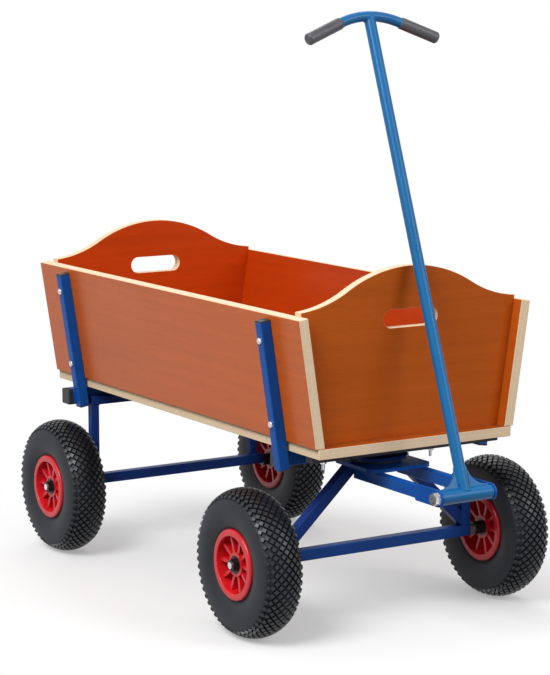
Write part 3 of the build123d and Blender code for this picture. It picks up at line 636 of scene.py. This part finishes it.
def weldBead(bm, route):
    sizes = [welds["radius"] * (welds["pinch"] if step % 2 else 1.0) for step in range(len(route))]
    sizes[0] = sizes[-1] = welds["radius"] * welds["tip"]
    heading = (route[1] - route[0]).normalized()
    stand = Matrix.Translation(route[0]) @ heading.to_track_quat("Z", "Y").to_matrix().to_4x4()
    ring = bmesh.ops.create_circle(bm, cap_ends=True, segments=welds["sides"], radius=sizes[0], matrix=stand)
    cap = ring["verts"][0].link_faces[0]
    for step in range(1, len(route)):
        ahead = route[step] - route[step - 1]
        grown = bmesh.ops.extrude_face_region(bm, geom=[cap])["geom"]
        verts = [item for item in grown if isinstance(item, bmesh.types.BMVert)]
        cap = next(item for item in grown if isinstance(item, bmesh.types.BMFace))
        turn = heading.rotation_difference(ahead.normalized()).to_matrix()
        heading = ahead.normalized()
        bmesh.ops.translate(bm, vec=ahead, verts=verts)
        bmesh.ops.rotate(bm, cent=route[step], matrix=turn, verts=verts)
        bmesh.ops.scale(bm, vec=[sizes[step] / sizes[step - 1]] * 3, verts=verts,
                        space=Matrix.Translation(-route[step]))


def addWelds(name, routes, finish, body):
    bm = bmesh.new()
    for route in routes:
        weldBead(bm, route)
    bmesh.ops.recalc_face_normals(bm, faces=bm.faces)
    addPiece(name, bm, [finish], body)
    bm.free()


def drawbarRoutes():
    routes = [roundPole(first, last, drawbar["teeR"], 1) for first, last in drawbar["teeArcs"]]
    for first, last in drawbar["barArcs"]:
        top = roundPole(first, last, drawbar["barR"], -1)
        routes.append([spot + Vector((0, 0, drawbar["barZ"])) for spot in top])
    near, far = drawbar["gussetFoot"]
    low, high = drawbar["gussetRise"]
    footZ = drawbar["gussetFootZ"]
    for side in (1, -1):
        y = side * drawbar["gussetSide"]
        for x in (drawbar["gussetX"], -drawbar["gussetX"]):
            routes.append(straight((x, side * near, footZ), (x, side * far, footZ)))
            routes.append(straight((x, y, low), (x, y, high)))
    return [[drawbar["place"] @ spot for spot in route] for route in routes]


def forkRoutes():
    plateLow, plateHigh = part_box("swivel_plate")
    armLow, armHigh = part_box("left_fork_arm")
    lugLow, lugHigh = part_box("fork_lugs")
    legLow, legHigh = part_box("front_legs")
    plate, lugBack = forkBeads["plate"], forkBeads["lugBack"]
    lugTop, leg = forkBeads["lugTop"], forkBeads["leg"]
    routes = []
    for side in (1, -1):
        for y in (armLow.y - plate["off"], armHigh.y + plate["off"]):
            routes.append(alongX(armLow.x + plate["back"], plateHigh.x - plate["front"],
                                 side * y, plateLow.z - plate["drop"]))
        lugX, lugY = lugLow.x - lugBack["back"], side * (armHigh.y + lugBack["off"])
        routes.append(straight((lugX, lugY, lugLow.z + lugBack["ends"]),
                               (lugX, lugY, lugHigh.z - lugBack["ends"])))
        routes.append(alongX(lugLow.x + lugTop["back"], armHigh.x - lugTop["front"],
                             side * (armHigh.y - lugTop["inset"]), armHigh.z + lugTop["lift"]))
        routes.append(alongX(legLow.x + leg["ends"], legHigh.x - leg["ends"],
                             side * (legHigh.y - leg["inset"]), legLow.z + leg["lift"]))
    return routes


def stakeRoute(x, side, reach, lowZ, highZ):
    # up the leaning stake beside the cross tube, reach is how far out from the panel's face
    footY, footZ = chassisBeads["stakeFoot"]
    lean = math.radians(chassisBeads["stakeLean"])
    ends = []
    for z in (lowZ, highZ):
        along = (z - footZ + reach * math.sin(lean)) / math.cos(lean)
        ends.append((x, side * (footY + reach * math.cos(lean) + along * math.sin(lean)), z))
    return straight(*ends)


def chassisRoutes():
    legLow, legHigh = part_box("rear_legs")
    stake, leg = chassisBeads["stake"], chassisBeads["leg"]
    routes = []
    for end, corners in chassisBeads["stakeCorners"].items():
        low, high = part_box(f"{end}_cross_tube")
        for side in (1, -1):
            for reach in corners:
                routes.append(stakeRoute(high.x + stake["off"], side, reach,
                                         low.z + stake["low"], high.z - stake["high"]))
    back, front = legLow.x + leg["ends"], legHigh.x - leg["ends"]
    footZ, innerY = legLow.z + leg["lift"], legHigh.y - leg["inset"]
    faceX = legHigh.x + leg["off"]
    near, far = leg["face"]
    for side in (1, -1):
        for y in (innerY, legHigh.y + leg["off"]):
            routes.append(alongX(back, front, side * y, footZ))
        routes.append(straight((faceX, side * (legHigh.y - near), footZ),
                               (faceX, side * (legHigh.y - far), footZ)))
        routes.append(alongX(back, front, side * innerY, legHigh.z - leg["drop"]))
    return routes


addCamera()
addLights()
addWorld()
addFloor()
print("camera, lights and floor are set")
finishes = dressNodes()
print("finishes are on the CAD nodes")
addTyres(finishes)
print("tyres are treaded")
addWelds("drawbar_weld_beads", drawbarRoutes(), finishes["drawbar"], "drawbar")
addWelds("fork_weld_beads", forkRoutes(), finishes["blue_steel"], "front_axle")
addWelds("chassis_weld_beads", chassisRoutes(), finishes["blue_steel"], "cart")
print("welds are laid")
